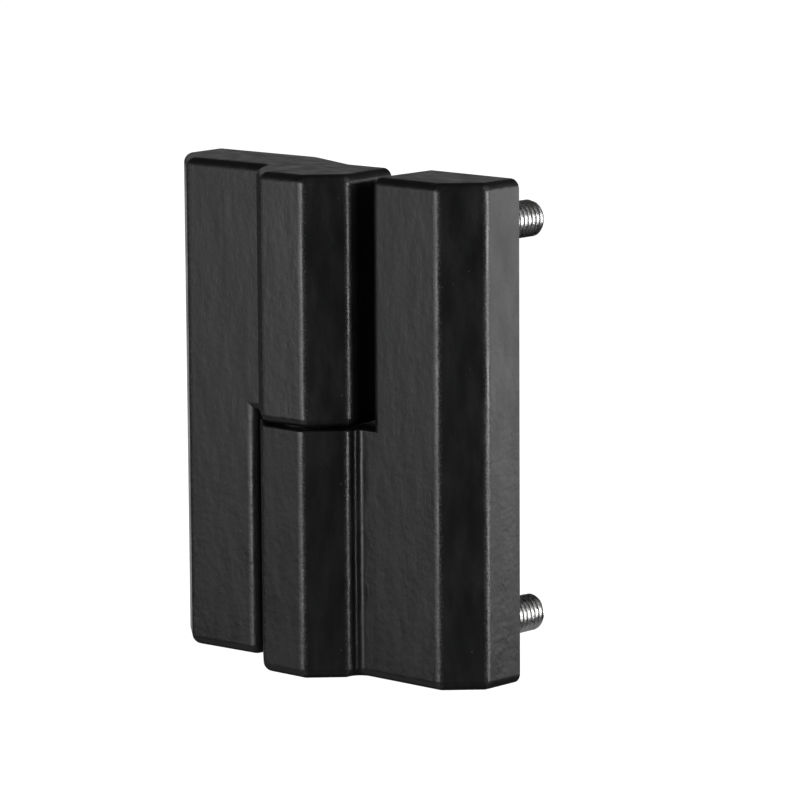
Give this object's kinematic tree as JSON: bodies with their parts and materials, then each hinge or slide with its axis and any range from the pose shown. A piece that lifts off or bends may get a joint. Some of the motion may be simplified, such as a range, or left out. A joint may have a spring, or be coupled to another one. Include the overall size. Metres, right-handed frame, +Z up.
{
  "type": "lift-off block hinge",
  "caption": "Black die-cast lift-off block hinge: faceted leaves with offset knuckles on an upright pin, held from behind by threaded studs.",
  "frame": {"origin": "middle of the frame leaf's two studs, on the plane of its mounting face", "axes": "+Z up along the pin; +Y out of the mounting faces into the frame, the way the studs point; +X from the door leaf to the frame leaf. The pin's axis is at x = -30.5 mm, y = -18 mm. The door leaf stands 3 degrees open at rest, towards -Y, as pictured; door_swing at -3 degrees shuts it"},
  "size_m": [0.0873, 0.0469, 0.1084],
  "materials": {
    "powder_coat": "satin black powder coat with a faint orange peel on zinc die casting",
    "ground_steel": "ground stainless steel",
    "bush_plastic": "matt black acetal",
    "zinc_plate": "bright zinc plated steel with a rolled thread"
  },
  "bodies": {
    "frame": {"frame_leaf": "powder_coat", "hinge_pin": "ground_steel", "thrust_washer": "bush_plastic", "frame_stud_lower": "zinc_plate", "frame_stud_upper": "zinc_plate"},
    "bush": {"knuckle_bush": "bush_plastic"},
    "door": {"door_leaf": "powder_coat", "door_stud_lower": "zinc_plate", "door_stud_upper": "zinc_plate"}
  },
  "joints": [
    {"name": "lift_off", "type": "slide", "parent": "frame", "child": "bush", "axis": [0, 0, 1], "range_m": [0, 0.04]},
    {"name": "door_swing", "type": "hinge", "parent": "bush", "child": "door", "pos_m": [-0.0305, -0.018, 0], "axis": [0, 0, 1], "range_deg": [-3, 177]}
  ]
}
